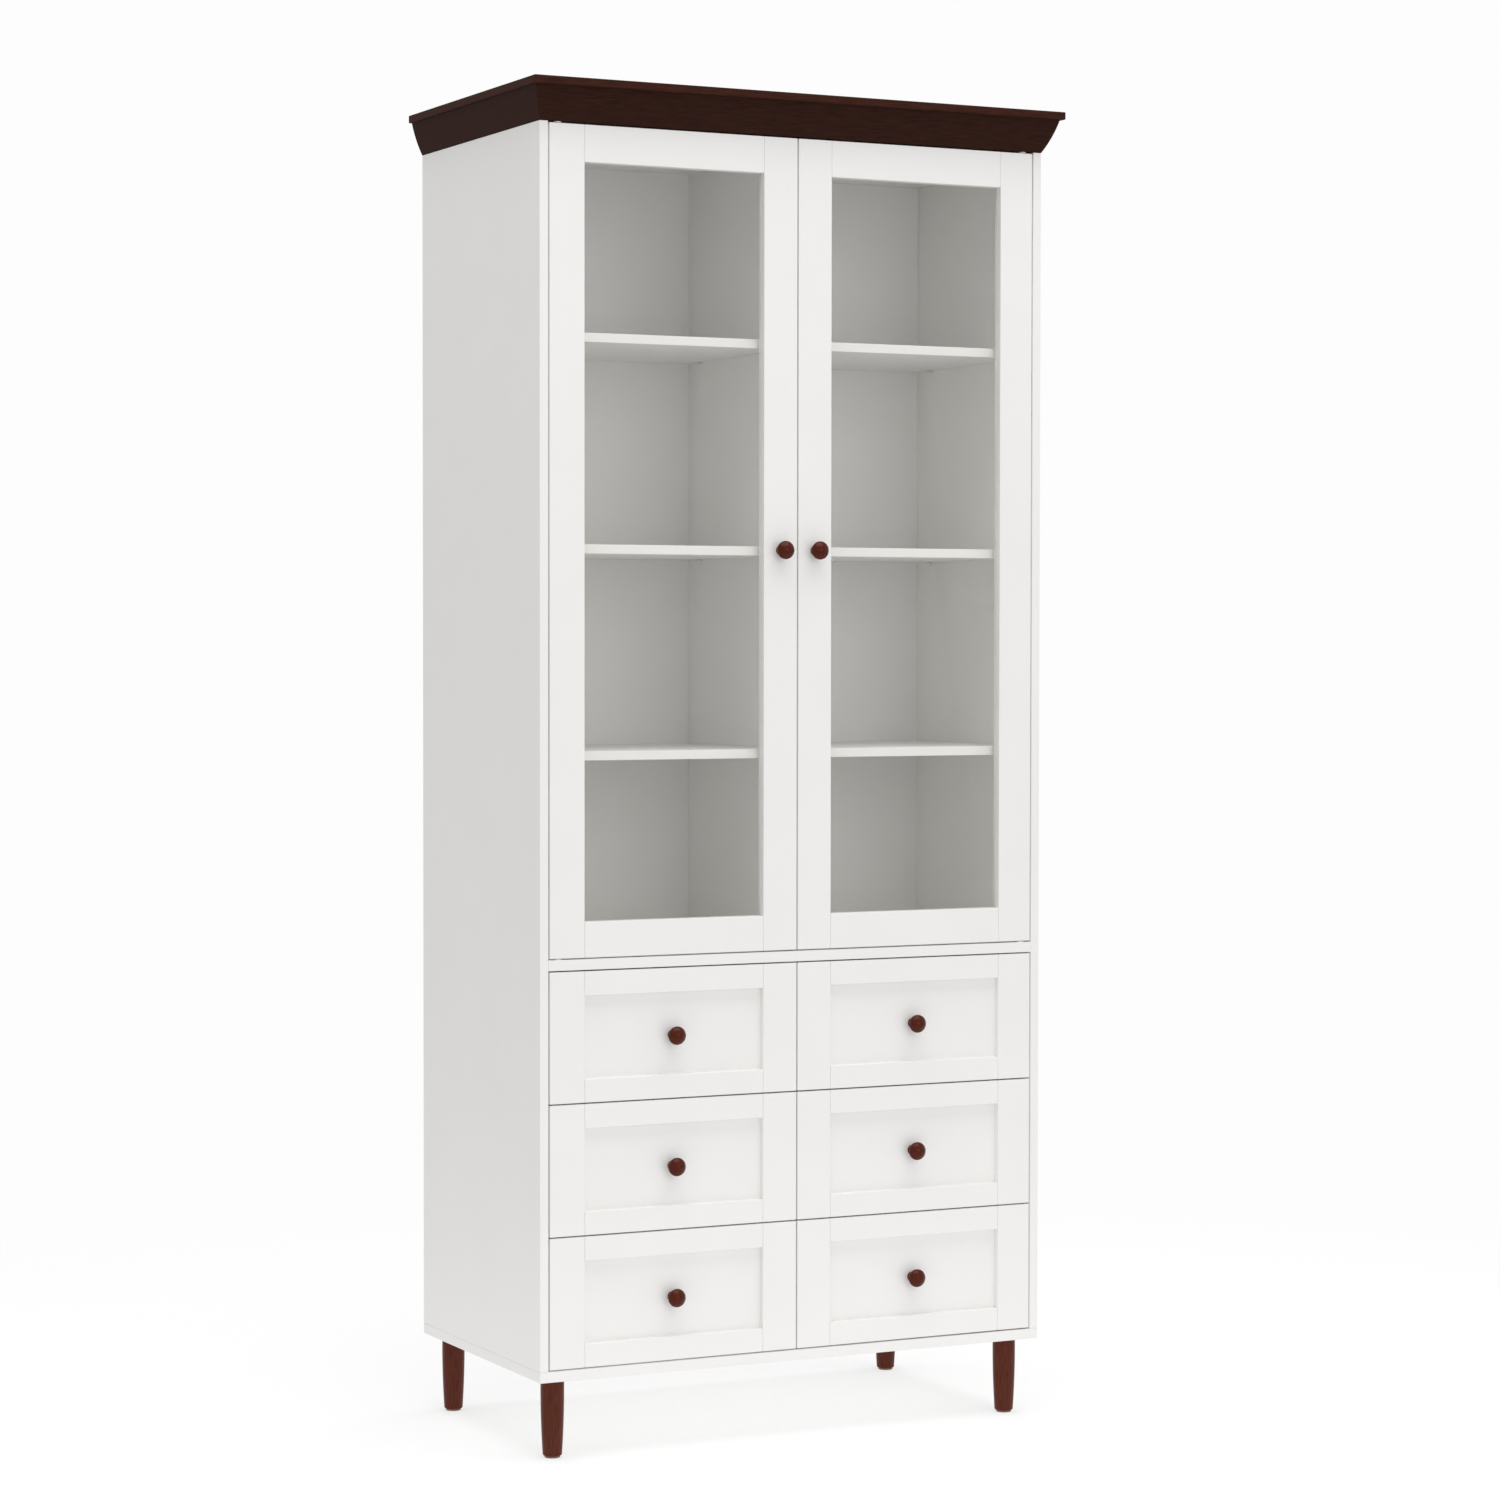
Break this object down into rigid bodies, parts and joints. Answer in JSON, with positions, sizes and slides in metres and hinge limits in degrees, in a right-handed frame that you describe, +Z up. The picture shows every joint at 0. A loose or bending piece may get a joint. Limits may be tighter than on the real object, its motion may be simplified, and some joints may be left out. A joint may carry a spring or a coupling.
{
  "type": "china cabinet",
  "caption": "Tall white cabinet on turned legs, with framed glass doors over shelves, framed drawers below, a dark flared crown and dark round knobs.",
  "frame": {"origin": "on the floor, under the middle of the cabinet's overall box", "axes": "+Z up, +X to the user's right facing the doors, -Y out of the front towards the user"},
  "size_m": [0.843, 0.472, 1.9167],
  "materials": {
    "white_lacquer": "white satin lacquer on board",
    "inner_board": "white satin foil on board",
    "back_sheet": "white painted fibreboard",
    "crown_stain": "very dark brown stain, satin lacquer",
    "leg_stain": "reddish brown stain, satin lacquer",
    "stained_knob": "reddish brown stain, semi-gloss lacquer",
    "glass": "clear float glass",
    "drawer_board": "birch plywood, clear lacquer",
    "zinc_steel": "zinc-plated steel",
    "nylon": "moulded nylon",
    "brown_nylon": "moulded brown nylon",
    "catch_plastic": "moulded white plastic"
  },
  "bodies": {
    "root": {"side_panel_left": "white_lacquer", "side_panel_right": "white_lacquer", "base_panel": "white_lacquer", "divider_shelf": "white_lacquer", "top_panel": "inner_board", "upper_partition": "inner_board", "lower_partition": "inner_board", "back_panel": "back_sheet", "shelves_left": "inner_board", "shelves_right": "inner_board", "shelf_pins": "nylon", "cam_locks": "zinc_steel", "crown_front": "crown_stain", "crown_left": "crown_stain", "crown_right": "crown_stain", "crown_cap": "crown_stain", "leg_front_left": "leg_stain", "leg_back_left": "leg_stain", "leg_front_right": "leg_stain", "leg_back_right": "leg_stain", "leg_studs_and_nuts": "zinc_steel", "foot_glides": "brown_nylon", "runner_channels": "zinc_steel", "door_pivot_bushes": "nylon", "door_catches": "catch_plastic", "wall_brackets": "zinc_steel"},
    "door_left": {"door_left_frame": "white_lacquer", "door_left_glass": "glass", "door_left_glass_beads": "white_lacquer", "door_left_knob": "stained_knob", "door_left_hardware": "zinc_steel"},
    "door_right": {"door_right_frame": "white_lacquer", "door_right_glass": "glass", "door_right_glass_beads": "white_lacquer", "door_right_knob": "stained_knob", "door_right_hardware": "zinc_steel"},
    "drawer_left_top": {"drawer_left_top_front": "white_lacquer", "drawer_left_top_box": "drawer_board", "drawer_left_top_knob": "stained_knob", "drawer_left_top_hardware": "zinc_steel"},
    "drawer_left_middle": {"drawer_left_middle_front": "white_lacquer", "drawer_left_middle_box": "drawer_board", "drawer_left_middle_knob": "stained_knob", "drawer_left_middle_hardware": "zinc_steel"},
    "drawer_left_bottom": {"drawer_left_bottom_front": "white_lacquer", "drawer_left_bottom_box": "drawer_board", "drawer_left_bottom_knob": "stained_knob", "drawer_left_bottom_hardware": "zinc_steel"},
    "drawer_right_top": {"drawer_right_top_front": "white_lacquer", "drawer_right_top_box": "drawer_board", "drawer_right_top_knob": "stained_knob", "drawer_right_top_hardware": "zinc_steel"},
    "drawer_right_middle": {"drawer_right_middle_front": "white_lacquer", "drawer_right_middle_box": "drawer_board", "drawer_right_middle_knob": "stained_knob", "drawer_right_middle_hardware": "zinc_steel"},
    "drawer_right_bottom": {"drawer_right_bottom_front": "white_lacquer", "drawer_right_bottom_box": "drawer_board", "drawer_right_bottom_knob": "stained_knob", "drawer_right_bottom_hardware": "zinc_steel"}
  },
  "joints": [
    {"name": "door_left_hinge", "type": "hinge", "parent": "root", "child": "door_left", "pos_m": [-0.371, -0.196, 1.2802], "axis": [0, 0, -1], "range_deg": [0, 105]},
    {"name": "door_right_hinge", "type": "hinge", "parent": "root", "child": "door_right", "pos_m": [0.371, -0.196, 1.2802], "axis": [0, 0, 1], "range_deg": [0, 105]},
    {"name": "drawer_left_top_slide", "type": "slide", "parent": "root", "child": "drawer_left_top", "axis": [0, -1, 0], "range_m": [0, 0.225]},
    {"name": "drawer_left_middle_slide", "type": "slide", "parent": "root", "child": "drawer_left_middle", "axis": [0, -1, 0], "range_m": [0, 0.225]},
    {"name": "drawer_left_bottom_slide", "type": "slide", "parent": "root", "child": "drawer_left_bottom", "axis": [0, -1, 0], "range_m": [0, 0.225]},
    {"name": "drawer_right_top_slide", "type": "slide", "parent": "root", "child": "drawer_right_top", "axis": [0, -1, 0], "range_m": [0, 0.225]},
    {"name": "drawer_right_middle_slide", "type": "slide", "parent": "root", "child": "drawer_right_middle", "axis": [0, -1, 0], "range_m": [0, 0.225]},
    {"name": "drawer_right_bottom_slide", "type": "slide", "parent": "root", "child": "drawer_right_bottom", "axis": [0, -1, 0], "range_m": [0, 0.225]}
  ]
}
